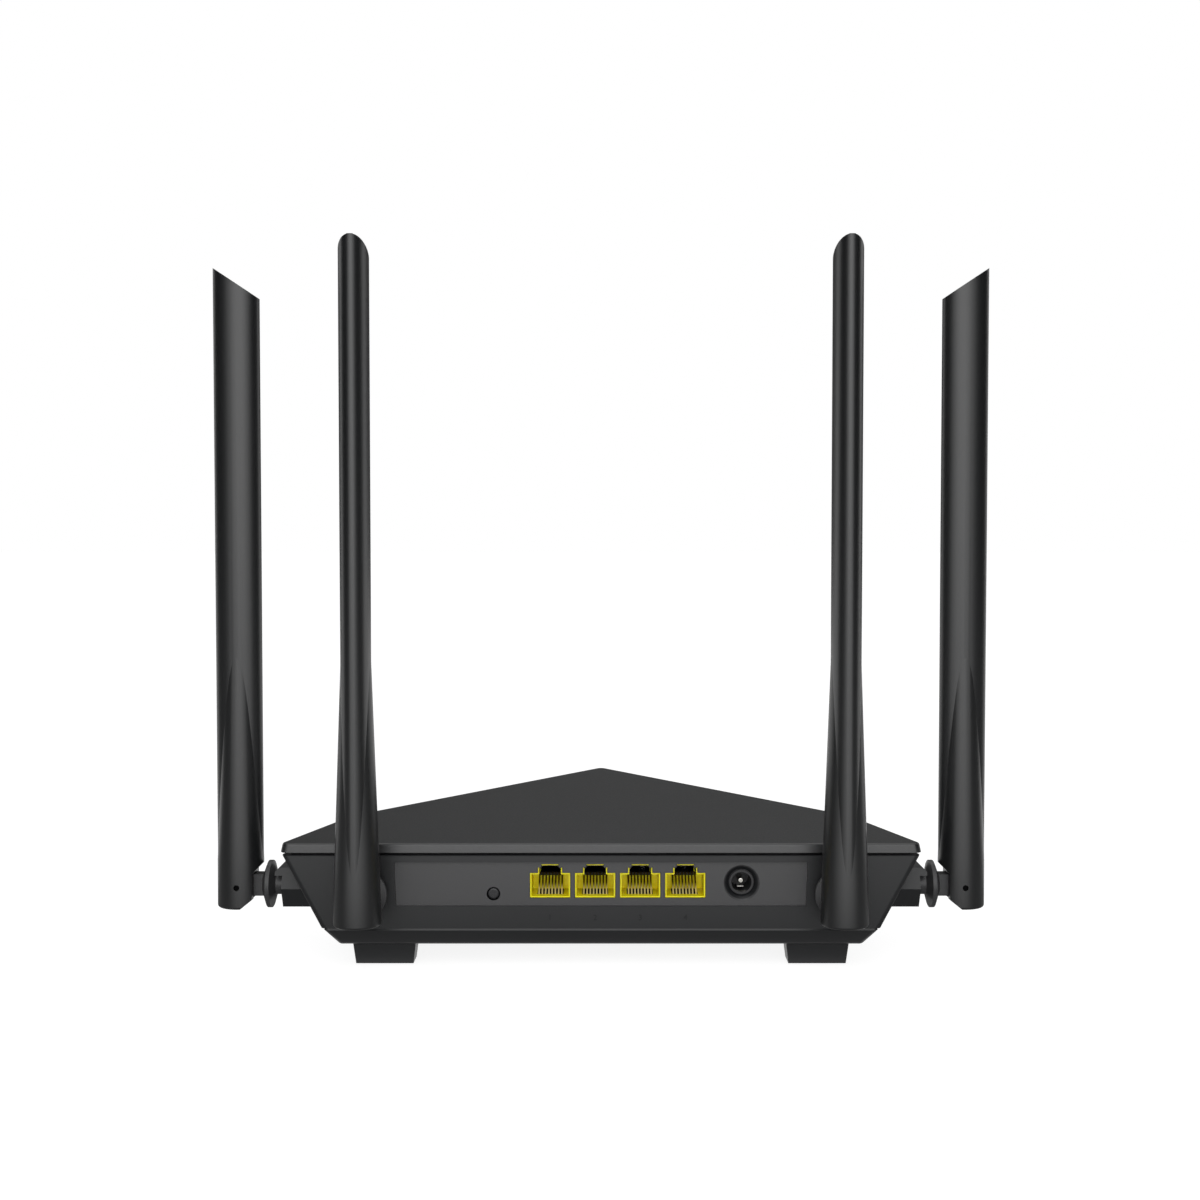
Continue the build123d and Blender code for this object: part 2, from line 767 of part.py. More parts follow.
# Every node, by name
def router_nodes():
    lamp_holes = guide_rods(guide_fit)
    nodes = {"top_cover": top_cover(), "bottom_case": bottom_case() - lamp_holes, "main_board": main_board()}
    jack = network_jack()
    for i, x in enumerate(jack_places, 1):
        nodes[f"network_jack_{i}"] = Pos(x, 0, 0) * jack
        nodes[f"jack_contacts_{i}"] = Compound([Pos(x, 0, 0) * spring for spring in jack_contacts()])
    nodes["power_jack"] = power_jack()
    nodes["power_pin"] = power_pin()
    nodes["power_spring"] = power_spring()
    nodes["reset_button"] = reset_button()
    nodes["reset_switch"] = reset_switch()
    chip = block_on(processor_size, processor_size, 0, processor_height)
    nodes["processor"] = on_board(processor_spot, chip)
    pad_top = processor_height + thermal_pad_height
    pad = block_on(processor_size, processor_size, processor_height, pad_top)
    nodes["thermal_pad"] = on_board(processor_spot, pad)
    nodes["heat_sink"] = on_board(processor_spot, Pos(0, 0, pad_top) * heat_sink())
    nodes["radio_chip"] = on_board(radio_spot, block_on(radio_size, radio_size, 0, radio_height))
    nodes["radio_shield"] = on_board(radio_spot, radio_shield())
    transformer = block_on(transformer_width, transformer_depth, 0, transformer_height)
    nodes["line_transformers"] = Compound([on_board((x, transformer_y), transformer) for x in jack_places])
    can = rod(capacitor_radius, (0, 0, 0), (0, 0, 1), capacitor_height)
    nodes["capacitors"] = Compound([on_board(spot, can) for spot in capacitor_spots])
    sockets = [(side * x, y) for x, y in (rear_socket_spot, side_socket_spot) for side in (-1, 1)]
    socket = rod(socket_radius, (0, 0, 0), (0, 0, 1), socket_height)
    nodes["lead_sockets"] = Compound([on_board(spot, socket) for spot in sockets])
    nodes["light_guide"] = light_guide()
    nodes["status_lamps"] = Compound(status_lamps())
    board_screw = screw(board_screw_radius, board_thick + board_screw_grip, board_screw_head,
                        board_screw_head_height)
    nodes["board_screws"] = Compound([on_board(spot, board_screw) for spot in standoff_spots])
    lid_screw = screw(lid_screw_radius, lid_screw_length, lid_screw_head, lid_screw_head_height)
    nodes["lid_screws"] = Compound([Pos(x, y, post_seat) * Rot(180, 0, 0) * lid_screw for x, y in post_spots])
    nodes["foot_pads"] = Compound(
        [Pos(x, y) * foot_pad(width, 0, pad_proud + pad_sink) for x, y, width in foot_places()])
    swivel = knuckle()
    on_pin = {"sleeve": antenna_sleeve(), "hinge_pin": hinge_pin(), "radiator": radiator(),
              "feed": antenna_feed()}
    for name, place in hinge_places().items():
        nodes[f"knuckle_{name}"] = place * swivel
        for piece, shape in on_pin.items():
            nodes[f"{piece}_{name}"] = place * Pos(pin_reach, 0, 0) * shape
        nodes[f"lead_{name}"] = antenna_lead(name)
    return nodes


nodes = router_nodes()
outer = Compound([nodes["top_cover"], nodes["sleeve_rear_left"]]).bounding_box()
frame_y = -(outer.min.Y + outer.max.Y) / 2
os.makedirs("parts", exist_ok=True)
for name, shape in nodes.items():
    export_step(Pos(0, frame_y, 0) * shape, f"parts/{name}.step")
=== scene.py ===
import bpy
import json
import math
from mathutils import Matrix, Vector

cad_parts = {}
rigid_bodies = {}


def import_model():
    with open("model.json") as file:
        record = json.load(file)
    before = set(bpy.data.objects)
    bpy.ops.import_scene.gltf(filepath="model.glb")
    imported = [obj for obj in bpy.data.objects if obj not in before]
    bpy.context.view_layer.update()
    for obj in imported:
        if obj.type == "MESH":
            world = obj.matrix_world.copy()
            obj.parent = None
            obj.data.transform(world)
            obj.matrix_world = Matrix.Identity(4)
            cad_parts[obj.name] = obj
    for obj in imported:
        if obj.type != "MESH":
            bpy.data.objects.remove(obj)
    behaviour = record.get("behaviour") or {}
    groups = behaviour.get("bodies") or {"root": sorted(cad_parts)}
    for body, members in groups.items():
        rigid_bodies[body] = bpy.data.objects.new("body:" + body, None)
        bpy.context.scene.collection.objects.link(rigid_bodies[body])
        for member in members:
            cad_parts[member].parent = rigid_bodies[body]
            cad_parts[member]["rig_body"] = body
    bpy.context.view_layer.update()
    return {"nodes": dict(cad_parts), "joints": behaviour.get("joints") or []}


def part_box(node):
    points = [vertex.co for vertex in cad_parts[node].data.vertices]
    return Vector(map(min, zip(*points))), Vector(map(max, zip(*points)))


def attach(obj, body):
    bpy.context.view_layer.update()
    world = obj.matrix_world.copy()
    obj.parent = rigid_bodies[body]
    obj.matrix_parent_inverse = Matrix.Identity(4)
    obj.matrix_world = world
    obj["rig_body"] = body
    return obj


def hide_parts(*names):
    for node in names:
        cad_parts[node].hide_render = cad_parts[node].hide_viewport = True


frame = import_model()
scene = bpy.context.scene

mm = 0.001
jackSetback = 1.1
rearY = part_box("network_jack_1")[0].y - jackSetback * mm  # outer face of the rear wall
# middles of the four network jacks
jackX = {number: sum(corner.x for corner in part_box(f"network_jack_{number}")) / 2 for number in range(1, 5)}
antennaNames = ("rear_left", "rear_right", "side_left", "side_right")
jointAt = {joint["name"]: Vector(joint["pos_m"]) for joint in frame["joints"] if "pos_m" in joint}


# small helpers

def clearSelection():
    if bpy.context.object and bpy.context.object.mode != "OBJECT":
        bpy.ops.object.mode_set(mode="OBJECT")
    bpy.ops.object.select_all(action="DESELECT")


def activate(piece):
    clearSelection()
    piece.select_set(True)
    bpy.context.view_layer.objects.active = piece


def newPiece(name):
    piece = bpy.context.object
    piece.name = name
    piece.data.name = name
    return piece


def copyPiece(name, mesh):
    piece = bpy.data.objects.new(name, mesh.copy())
    scene.collection.objects.link(piece)
    return piece


def applyPlace(piece):
    activate(piece)
    bpy.ops.object.transform_apply(location=True, rotation=True, scale=True)


def editAll(piece):
    activate(piece)
    bpy.ops.object.mode_set(mode="EDIT")
    bpy.ops.mesh.select_all(action="SELECT")


def closeShape():
    # leaves edit mode with every face pointing outwards
    bpy.ops.mesh.select_all(action="SELECT")
    bpy.ops.mesh.normals_make_consistent(inside=False)
    bpy.ops.object.mode_set(mode="OBJECT")


def useModifier(piece, kind, **settings):
    activate(piece)
    modifier = piece.modifiers.new(kind.lower(), kind)
    for key, value in settings.items():
        setattr(modifier, key, value)
    bpy.ops.object.modifier_apply(modifier=modifier.name)


def bevelEdges(piece, width, segments, degrees):
    # every edge sharper than the angle, its width in millimetres
    useModifier(piece, "BEVEL", width=width * mm, segments=segments, limit_method="ANGLE",
                angle_limit=math.radians(degrees))


def smooth(piece, degrees):
    activate(piece)
    bpy.ops.object.shade_smooth_by_angle(angle=math.radians(degrees))


def cutWith(piece, cutter, operation="DIFFERENCE"):
    useModifier(piece, "BOOLEAN", object=cutter, operation=operation, solver="EXACT")
    activate(cutter)
    bpy.ops.object.delete()


# materials

def srgb(code):
    channels = [int(code[i:i + 2], 16) / 255 for i in (0, 2, 4)]
    linear = [c / 12.92 if c <= 0.04045 else ((c + 0.055) / 1.055) ** 2.4 for c in channels]
    return (*linear, 1.0)


def plug(tree, node, inputs):
    # a node or a socket is linked, anything else becomes the input's own value
    for name, value in inputs.items():
        if isinstance(value, bpy.types.Node):
            value = next(output for output in value.outputs if output.enabled)
        if isinstance(value, bpy.types.NodeSocket):
            tree.links.new(value, node.inputs[name])
        else:
            node.inputs[name].default_value = value


def addNode(tree, kind, inputs, **settings):
    node = tree.nodes.new(kind)
    for key, value in settings.items():
        setattr(node, key, value)
    plug(tree, node, inputs)
    return node


def startMaterial(name):
    material = bpy.data.materials.new(name)
    material.use_nodes = True
    tree = material.node_tree
    shader = tree.nodes["Principled BSDF"]
    place = addNode(tree, "ShaderNodeTexCoord", {}).outputs["Object"]
    return material, tree, shader, place


def finish(piece, material):
    piece.data.materials.clear()
    piece.data.materials.append(material)


def unevenTone(tree, place, size, detail, colours, ends=(0.0, 1.0)):
    # patches of this size in millimetres that run from one colour to the other
    patches = addNode(tree, "ShaderNodeTexNoise", {"Vector": place, "Scale": 1 / (size * mm),
                                                   "Detail": detail})
    tone = addNode(tree, "ShaderNodeValToRGB", {"Fac": patches})
    for element, end, colour in zip(tone.color_ramp.elements, ends, colours):
        element.position = end
        element.color = srgb(colour)
    return patches, tone


def maskWhere(tree, *tests):
    # 1 where every test holds, else 0
    mask = 1.0
    for comparison, *values in tests:
        passed = addNode(tree, "ShaderNodeMath", dict(enumerate(values)), operation=comparison)
        mask = addNode(tree, "ShaderNodeMath", {0: mask, 1: passed}, operation="MULTIPLY")
    return mask


def gritSheen(tree, grit, roughness, look):
    # roughness and relief that follow the grit
    wear = addNode(tree, "ShaderNodeMapRange", {"Value": grit, "To Min": roughness - look["spread"],
                                                "To Max": roughness + look["spread"]})
    relief = addNode(tree, "ShaderNodeBump", {"Height": grit, "Strength": look["bump"],
                                              "Distance": look["bumpDepth"] * mm})
    return {"Roughness": wear, "Normal": relief}


mouldedBlack = {"colours": ("121314", "17181a"), "patch": 30.0, "patchDetail": 3.0,
                "grit": 0.45, "gritDetail": 2.0, "spread": 0.08, "bump": 0.2, "bumpDepth": 0.03, "ior": 1.58,
                "caseRoughness": 0.42, "caseGloss": 0.44, "lidRoughness": 0.35, "lidGloss": 0.62}
connectorStrip = {"colour": "383839", "half": 64.0, "low": 19.6, "high": 33.3, "sunk": 1.0, "slack": 0.4}


def blackAbs(name, roughness, gloss):
    # injection-moulded ABS from a spark-eroded tool: dull, with a grit that breaks highlights into a soft
    # sheen; real grit is too fine to show, so it is drawn coarser
    look, strip = mouldedBlack, connectorStrip
    material, tree, shader, place = startMaterial(name)
    tone = unevenTone(tree, place, look["patch"], look["patchDetail"], look["colours"])[1]
    # the connector strip's panel is coloured a lighter grey than the rest of the case
    axes = addNode(tree, "ShaderNodeSeparateXYZ", {"Vector": place}).outputs
    across = addNode(tree, "ShaderNodeMath", {0: axes["X"]}, operation="ABSOLUTE")
    middle, half = (strip["high"] + strip["low"]) / 2, (strip["high"] - strip["low"]) / 2
    inStrip = maskWhere(tree, ("LESS_THAN", across, strip["half"] * mm),
                        ("COMPARE", axes["Z"], middle * mm, half * mm),
                        ("COMPARE", axes["Y"], rearY + strip["sunk"] * mm, strip["slack"] * mm))
    paint = addNode(tree, "ShaderNodeMix", {"Factor": inStrip, "A": tone, "B": srgb(strip["colour"])},
                    data_type="RGBA")
    grit = addNode(tree, "ShaderNodeTexNoise", {"Vector": place, "Scale": 1 / (look["grit"] * mm),
                                                "Detail": look["gritDetail"]})
    plug(tree, shader, gritSheen(tree, grit, roughness, look))
    plug(tree, shader, {"Base Color": paint, "IOR": look["ior"], "Specular IOR Level": gloss})
    return material


antennaBlack = {"colours": ("0e0f10", "131415"), "grit": 0.4, "gritDetail": 2.0, "roughness": 0.36,
                "spread": 0.05, "bump": 0.08, "bumpDepth": 0.02, "ior": 1.5, "gloss": 0.78}


def antennaAbs():
    # ABS and polycarbonate blend from a finely blasted tool: satin, so long soft bands of light run down the
    # sleeves; its grit too is drawn coarser than real
    look = antennaBlack
    material, tree, shader, place = startMaterial("satin black ABS-PC")
    grit, tone = unevenTone(tree, place, look["grit"], look["gritDetail"], look["colours"])
    plug(tree, shader, gritSheen(tree, grit, look["roughness"], look))
    plug(tree, shader, {"Base Color": tone, "IOR": look["ior"], "Specular IOR Level": look["gloss"]})
    return material


fineGrain = {"detail": 3.0, "ends": (0.3, 0.7), "bump": 0.1, "bumpDepth": 0.02, "ior": 1.5}


def speckled(name, dark, light, size, roughness, metallic=0.0):
    # one plain finish with a fine uneven grain, its size in millimetres
    material, tree, shader, place = startMaterial(name)
    grit, tone = unevenTone(tree, place, size, fineGrain["detail"], (dark, light), fineGrain["ends"])
    relief = addNode(tree, "ShaderNodeBump", {"Height": grit, "Strength": fineGrain["bump"],
                                              "Distance": fineGrain["bumpDepth"] * mm})
    plug(tree, shader, {"Base Color": tone, "Normal": relief, "Roughness": roughness, "Metallic": metallic})
    if not metallic:
        plug(tree, shader, {"IOR": fineGrain["ior"]})
    return material, tree, shader, place, tone


# places of the painted shade in the latch channel and the pit are from the middle of a jack, the table and
# the rear wall; the shade colour is that painted shade
jackMould = {"dark": "e6d300", "light": "efde08", "shade": "120f02", "grain": 0.8, "roughness": 0.38,
             "glow": 0.6, "glowDepth": 1.5, "glowReach": (1.0, 0.8, 0.1),
             "channelHalf": 3.4, "channelLow": 29.1, "channelTop": 32.2, "slope": 0.2,
             "pitHalf": 4.1, "pitTop": 22.45, "pitBottom": 19.5, "pitFront": 3.5}


def yellowJack():
    # bright PBT that lets a little light through, with shade painted into its colour in the latch channel and
    # in the pit under the springs
    look = jackMould
    material, tree, shader, place, tone = speckled("yellow PBT, moulded", look["dark"], look["light"],
                                                   look["grain"], look["roughness"])
    axes = addNode(tree, "ShaderNodeSeparateXYZ", {"Vector": place}).outputs
    halfPitch = (jackX[2] - jackX[1]) / 2
    fromFirst = addNode(tree, "ShaderNodeMath", {0: axes["X"], 1: jackX[1]}, operation="SUBTRACT")
    own = addNode(tree, "ShaderNodeMath", {0: fromFirst, 1: halfPitch, 2: -halfPitch}, operation="WRAP")
    across = addNode(tree, "ShaderNodeMath", {0: own}, operation="ABSOLUTE")
    depth = addNode(tree, "ShaderNodeMath", {0: axes["Y"], 1: rearY}, operation="SUBTRACT")
    # the lower end of the channel's painted shade drops with depth
    drop = addNode(tree, "ShaderNodeMath", {0: depth, 1: look["slope"]}, operation="MULTIPLY")
    sight = addNode(tree, "ShaderNodeMath", {0: axes["Z"], 1: drop}, operation="ADD")
    channelPaintedShade = maskWhere(tree, ("LESS_THAN", across, look["channelHalf"] * mm),
                        ("GREATER_THAN", sight, look["channelLow"] * mm),
                        ("LESS_THAN", axes["Z"], look["channelTop"] * mm))
    pitPaintedShade = maskWhere(tree, ("LESS_THAN", across, look["pitHalf"] * mm),
                    ("GREATER_THAN", axes["Z"], look["pitBottom"] * mm),
                    ("LESS_THAN", axes["Z"], look["pitTop"] * mm),
                    ("GREATER_THAN", depth, look["pitFront"] * mm))
    # painted shade: the near-black shade colour is laid over the channel and the pit
    shade = addNode(tree, "ShaderNodeMath", {0: channelPaintedShade, 1: pitPaintedShade}, operation="MAXIMUM")
    paint = addNode(tree, "ShaderNodeMix", {"Factor": shade, "A": tone, "B": srgb(look["shade"])},
                    data_type="RGBA")
    plug(tree, shader, {"Base Color": paint, "Subsurface Weight": look["glow"],
                        "Subsurface Radius": look["glowReach"], "Subsurface Scale": look["glowDepth"] * mm})
    return material


# painted shade darkens the plating between these depths behind the rear wall's face
springPlating = {"bright": "ffec9a", "combShade": "4a3a08", "from": 5.6, "to": 8.2, "roughness": 0.34,
                 "metallic": 0.6}


def springGold():
    # gold plating, with shade painted into its colour deeper in the comb behind the mouth
    look = springPlating
    material, tree, shader, place = startMaterial("gold-plated contact springs")
    axes = addNode(tree, "ShaderNodeSeparateXYZ", {"Vector": place}).outputs
    deep = addNode(tree, "ShaderNodeMapRange", {"Value": axes["Y"], "From Min": rearY + look["from"] * mm,
                                                "From Max": rearY + look["to"] * mm},
                   interpolation_type="SMOOTHSTEP")
    # painted shade: the plating fades to the dark comb colour with depth
    paint = addNode(tree, "ShaderNodeMix", {"Factor": deep, "A": srgb(look["bright"]),
                                            "B": srgb(look["combShade"])}, data_type="RGBA")
    plug(tree, shader, {"Base Color": paint, "Roughness": look["roughness"], "Metallic": look["metallic"]})
    return material


finishes = {
    "caseAbs": blackAbs("black ABS, spark-eroded", mouldedBlack["caseRoughness"], mouldedBlack["caseGloss"]),
    "lidAbs": blackAbs("black ABS, fine satin", mouldedBlack["lidRoughness"], mouldedBlack["lidGloss"]),
    "antennaAbs": antennaAbs(), "yellowPbt": yellowJack(), "contactGold": springGold(),
}

# name, dark and light colour, grain in millimetres, roughness, metallic
plainFinishes = {
    "gold": ("gold-plated phosphor bronze", "edc84c", "f8dc6a", 0.6, 0.45, 0.8),  # warm, with a soft glint
    "nickel": ("nickel-plated brass", "b9b7b1", "cfcdc8", 0.5, 0.22, 1.0),  # pale and almost a mirror
    "zinc": ("zinc-plated steel", "8f9296", "a6a9ad", 0.5, 0.35, 1.0),  # cool grey with a broad glint
    "blackSteel": ("blackened steel pin", "0e0e0f", "151516", 0.5, 0.55, 1.0),  # dark, faint sheen
    "nylon": ("black glass-filled nylon", "1c1c1d", "242426", 0.5, 0.4),  # black that the fibres dull
    "buttonAbs": ("polished black ABS", "1b1b1d", "212123", 0.5, 0.25),  # shiny black
    "ink": ("mat black pad-print ink", "0c0c0d", "101011", 0.5, 0.7),  # flat black, darker than the wall
    "acetal": ("black acetal", "2f2f30", "373738", 0.5, 0.42),  # waxy dark grey
    "solderMask": ("green solder mask on glass epoxy", "12502c", "1a6638", 6.0, 0.3),  # cloudy green, glossy
    "epoxy": ("moulded chip epoxy", "1d1e20", "26272a", 0.4, 0.6),  # dull charcoal
    "silicone": ("grey silicone pad", "8b9199", "9aa0a8", 1.0, 0.8),  # chalky grey
    "extrusion": ("extruded aluminium", "a9acb0", "bcbfc3", 1.5, 0.4, 1.0),  # light grey, a little cloudy
    "canMetal": ("aluminium can", "9fa2a6", "b4b7bb", 1.0, 0.35, 1.0),  # silver grey
    "clearPc": ("clear polycarbonate", "d5dade", "e3e7ea", 2.0, 0.12),  # pale and glassy
    "lampLens": ("milky epoxy lens", "e2e2d2", "eeeee2", 0.6, 0.3),  # creamy white
    "rubber": ("black rubber", "151515", "1d1d1d", 0.7, 0.85),  # black with no glint
    "jacket": ("black lead jacket", "1a1a1b", "232324", 0.5, 0.45),  # black with a slight sheen
}
for key, row in plainFinishes.items():
    finishes[key] = speckled(*row)[0]
print("materials made:", len(finishes))

finishOf = {
    "main_board": "solderMask", "power_jack": "nylon", "power_pin": "nickel", "power_spring": "nickel",
    "reset_switch": "epoxy", "processor": "epoxy", "thermal_pad": "silicone", "heat_sink": "extrusion",
    "radio_chip": "epoxy", "radio_shield": "zinc", "line_transformers": "epoxy", "capacitors": "canMetal",
    "lead_sockets": "gold", "light_guide": "clearPc", "status_lamps": "lampLens", "board_screws": "zinc",
    "lid_screws": "zinc", "foot_pads": "rubber", "reset_button": "buttonAbs",
    "top_cover": "lidAbs", "bottom_case": "caseAbs",
}
for number in jackX:
    finishOf[f"network_jack_{number}"] = "yellowPbt"
    finishOf[f"jack_contacts_{number}"] = "contactGold"
antennaFinishes = {"knuckle": "acetal", "sleeve": "antennaAbs", "hinge_pin": "blackSteel",
                   "radiator": "solderMask", "feed": "jacket", "lead": "jacket"}
for name in antennaNames:
    for piece, key in antennaFinishes.items():
        finishOf[f"{piece}_{name}"] = key
for name, key in finishOf.items():
    finish(frame["nodes"][name], finishes[key])


# moulded edges: the solid's own faces, joined up and given a small round along every hard edge,
# its width set for each kind of piece

edges = {"merge": 0.0005, "flatAngle": 0.2, "hardAngle": 28, "segments": 2, "smoothAngle": 30,
         "case": 0.1, "jack": 0.1, "knuckle": 0.2, "powerJack": 0.15, "button": 0.1, "screw": 0.15}


def roundEdges(nodeName, width):
    solid = frame["nodes"][nodeName]
    piece = copyPiece(nodeName + "_moulding", solid.data)
    editAll(piece)
    bpy.ops.mesh.remove_doubles(threshold=edges["merge"] * mm)
    bpy.ops.mesh.dissolve_limited(angle_limit=math.radians(edges["flatAngle"]))
    bpy.ops.object.mode_set(mode="OBJECT")
    bevelEdges(piece, width, edges["segments"], edges["hardAngle"])
    smooth(piece, edges["smoothAngle"])
    useModifier(piece, "WEIGHTED_NORMAL", keep_sharp=True)
    finish(piece, finishes[finishOf[nodeName]])
    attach(piece, solid["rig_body"])
    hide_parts(nodeName)
    return piece


# antenna sleeve, modelled once about its hinge pin with +X outwards, then copied to the four hinges;
# a round is its width, segments and smallest angle, and turns are in degrees about the hinge

sleeve = {"width": 14.8, "thick": 9.0, "tip": 198.0, "tipDrop": 9.8, "bottom": -7.1, "shoulder": 8.0,
          "fade": 74.0, "footThick": 14.5, "shoulderThick": 13.7, "fadeWidth": 10.0, "sides": 160,
          "cheek": 4.6, "cheekShoulder": 4.2, "toe": 0.9, "slotHalf": 2.8, "slotReach": 3.8, "arcStep": 6,
          "pinRadius": 0.94, "pinSides": 32, "footRound": (0.8, 4, 70), "edgeRound": (0.25, 2, 35),
          "smoothAngle": 8,
          "turns": {"rear_left": -90, "rear_right": -90, "side_left": 180, "side_right": 0}}


def ellipseTube(name, rings):
    # rings are (height, width, thickness) in millimetres
    clearSelection()
    height, width, thick = rings[0]
    bpy.ops.mesh.primitive_circle_add(vertices=sleeve["sides"], radius=1.0, fill_type="NGON",
                                      location=(0, 0, height * mm))
    tube = newPiece(name)
    tube.scale = (width / 2 * mm, thick / 2 * mm, 1)
    applyPlace(tube)
    editAll(tube)
    for nextHeight, nextWidth, nextThick in rings[1:]:
        rise = (nextHeight - height) * mm
        bpy.ops.mesh.extrude_region_move(TRANSFORM_OT_translate={"value": (0, 0, rise)})
        bpy.ops.transform.resize(value=(nextWidth / width, nextThick / thick, 1),
                                 center_override=(0, 0, nextHeight * mm))
        height, width, thick = nextHeight, nextWidth, nextThick
    closeShape()
    return tube


def prism(name, outline, halfDepth):
    # an XZ outline in millimetres, pushed out both ways along Y
    clearSelection()
    bpy.ops.mesh.primitive_circle_add(vertices=len(outline), radius=1.0, fill_type="NGON")
    cutter = newPiece(name)
    for vertex, (x, z) in zip(cutter.data.vertices, outline):
        vertex.co = (x * mm, -halfDepth * mm, z * mm)
    editAll(cutter)
    bpy.ops.mesh.extrude_region_move(TRANSFORM_OT_translate={"value": (0, 2 * halfDepth * mm, 0)})
    closeShape()
    return cutter


def makeSleeve():
    s = sleeve
    body = ellipseTube("sleeveBody", [(0, s["width"], s["thick"]), (s["tip"], s["width"], s["thick"])])
    base = ellipseTube("sleeveBase", [(s["bottom"], s["width"], s["footThick"]),
                                      (s["shoulder"], s["width"], s["shoulderThick"]),
                                      (s["fade"], s["fadeWidth"], s["thick"])])
    bevelEdges(base, *s["footRound"])
    cutWith(body, base, "UNION")
    # the slanted top
    slant = Vector((-s["tipDrop"], 0, s["width"])).normalized()
    editAll(body)
    bpy.ops.mesh.bisect(plane_co=(s["width"] / 2 * mm, 0, s["tip"] * mm), plane_no=slant, use_fill=True,
                        clear_outer=True)
    bpy.ops.object.mode_set(mode="OBJECT")
    # cheeks cut back on the case's side, the slot that the knuckle's tongue turns in, and the pin's hole
    far = s["width"]
    notch = [(-far, s["cheekShoulder"] + far - s["cheek"]), (-s["cheek"], s["cheekShoulder"]),
             (-s["cheek"], -s["cheekShoulder"]), (-s["toe"], s["bottom"]), (-s["toe"], -far), (-far, -far)]
    cutWith(body, prism("notchCut", notch, far))
    reach = s["slotReach"]
    arc = [(reach * math.cos(math.radians(a)), reach * math.sin(math.radians(a)))
           for a in range(90, -1, -s["arcStep"])]
    slot = arc + [(reach, -far), (-far, -far), (-far, reach)]
    cutWith(body, prism("slotCut", slot, s["slotHalf"]))
    clearSelection()
    bpy.ops.mesh.primitive_cylinder_add(vertices=s["pinSides"], radius=s["pinRadius"] * mm,
                                        depth=2 * far * mm, rotation=(math.radians(90), 0, 0))
    cutWith(body, newPiece("pinCut"))
    bevelEdges(body, *s["edgeRound"])
    return body


master = makeSleeve()
for name, turn in sleeve["turns"].items():
    copy = copyPiece(f"sleeve_{name}_moulding", master.data)
    copy.data.transform(Matrix.Translation(jointAt[f"tilt_{name}"])
                        @ Matrix.Rotation(math.radians(turn), 4, "Z"))
    smooth(copy, sleeve["smoothAngle"])
    finish(copy, finishes["antennaAbs"])
    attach(copy, f"antenna_{name}")
    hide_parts(f"sleeve_{name}")
activate(master)
bpy.ops.object.delete()
print("sleeves made")

for name in ("top_cover", "bottom_case"):
    roundEdges(name, edges["case"])
for number in jackX:
    roundEdges(f"network_jack_{number}", edges["jack"])
for name in antennaNames:
    roundEdges(f"knuckle_{name}", edges["knuckle"])
roundEdges("power_jack", edges["powerJack"])
roundEdges("reset_button", edges["button"])
print("edges rounded")


# cross recesses in the lid screws, whose heads face down; spots are from the middle and the rear wall

recess = {"spots": ((-66.0, 22.0), (66.0, 22.0), (0.0, 90.0)), "span": 3.0, "width": 0.8, "depth": 1.0}


def cutRecesses():
    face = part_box("lid_screws")[0].z
    screws = roundEdges("lid_screws", edges["screw"])
    for x, y in recess["spots"]:
        for wide, deep in ((recess["span"], recess["width"]), (recess["width"], recess["span"])):
            clearSelection()
            bpy.ops.mesh.primitive_cube_add(size=1.0, location=(x * mm, rearY + y * mm, face))
            cutter = newPiece("recessCut")
            cutter.scale = (wide * mm, deep * mm, 2 * recess["depth"] * mm)
            applyPlace(cutter)
            cutWith(screws, cutter)


cutRecesses()


# plain raised numbers under the network jacks

numerals = {"size": 2.4, "low": 15.3, "relief": 0.1}


def makeNumeral(number):
    clearSelection()
    bpy.ops.object.text_add()
    text = bpy.context.object
    text.data.body = str(number)
    text.data.align_x = "CENTER"
    text.data.size = numerals["size"] * mm
    text.data.extrude = numerals["relief"] * mm
    bpy.ops.object.convert(target="MESH")
    numeral = newPiece(f"numeral_{number}")
    numeral.location = (jackX[number], rearY, numerals["low"] * mm)
    numeral.rotation_euler = (math.radians(90), 0, 0)
    applyPlace(numeral)
    finish(numeral, finishes["ink"])
    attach(numeral, "case")


for number in jackX:
    makeNumeral(number)
print("small details made")


# floor, light and camera, all lengths from here on in metres

studio = {"paper": "9a9a9a", "paperRoughness": 0.9, "floorSize": 40.0, "floorCells": 8, "floorDrop": 0.00002,
          "white": "ffffff", "glow": 0.86, "fieldBack": 0.35, "fieldFront": 1.4}


def seenDirectly(tree):
    # 1 for the camera and for what gloss and clear pieces show, 0 for light on its way to a dull surface
    path = addNode(tree, "ShaderNodeLightPath", {}).outputs
    seen = path["Is Camera Ray"]
    for ray in ("Is Glossy Ray", "Is Transmission Ray"):
        seen = addNode(tree, "ShaderNodeMath", {0: seen, 1: path[ray]}, operation="MAXIMUM")
    return seen


def makeFloor():
    # plain paper with no sheen, which shows white and keeps the object's shadow
    clearSelection()
    bpy.ops.mesh.primitive_grid_add(x_subdivisions=studio["floorCells"], y_subdivisions=studio["floorCells"],
                                    size=studio["floorSize"], location=(0, 0, -studio["floorDrop"]))
    floor = newPiece("studioFloor")
    applyPlace(floor)
    material, tree, shader = startMaterial("white paper sweep")[:3]
    glow = addNode(tree, "ShaderNodeMath", {0: seenDirectly(tree), 1: studio["glow"]}, operation="MULTIPLY")
    plug(tree, shader, {"Base Color": srgb(studio["paper"]), "Roughness": studio["paperRoughness"],
                        "Specular IOR Level": 0.0, "Emission Color": srgb(studio["white"]),
                        "Emission Strength": glow})
    finish(floor, material)


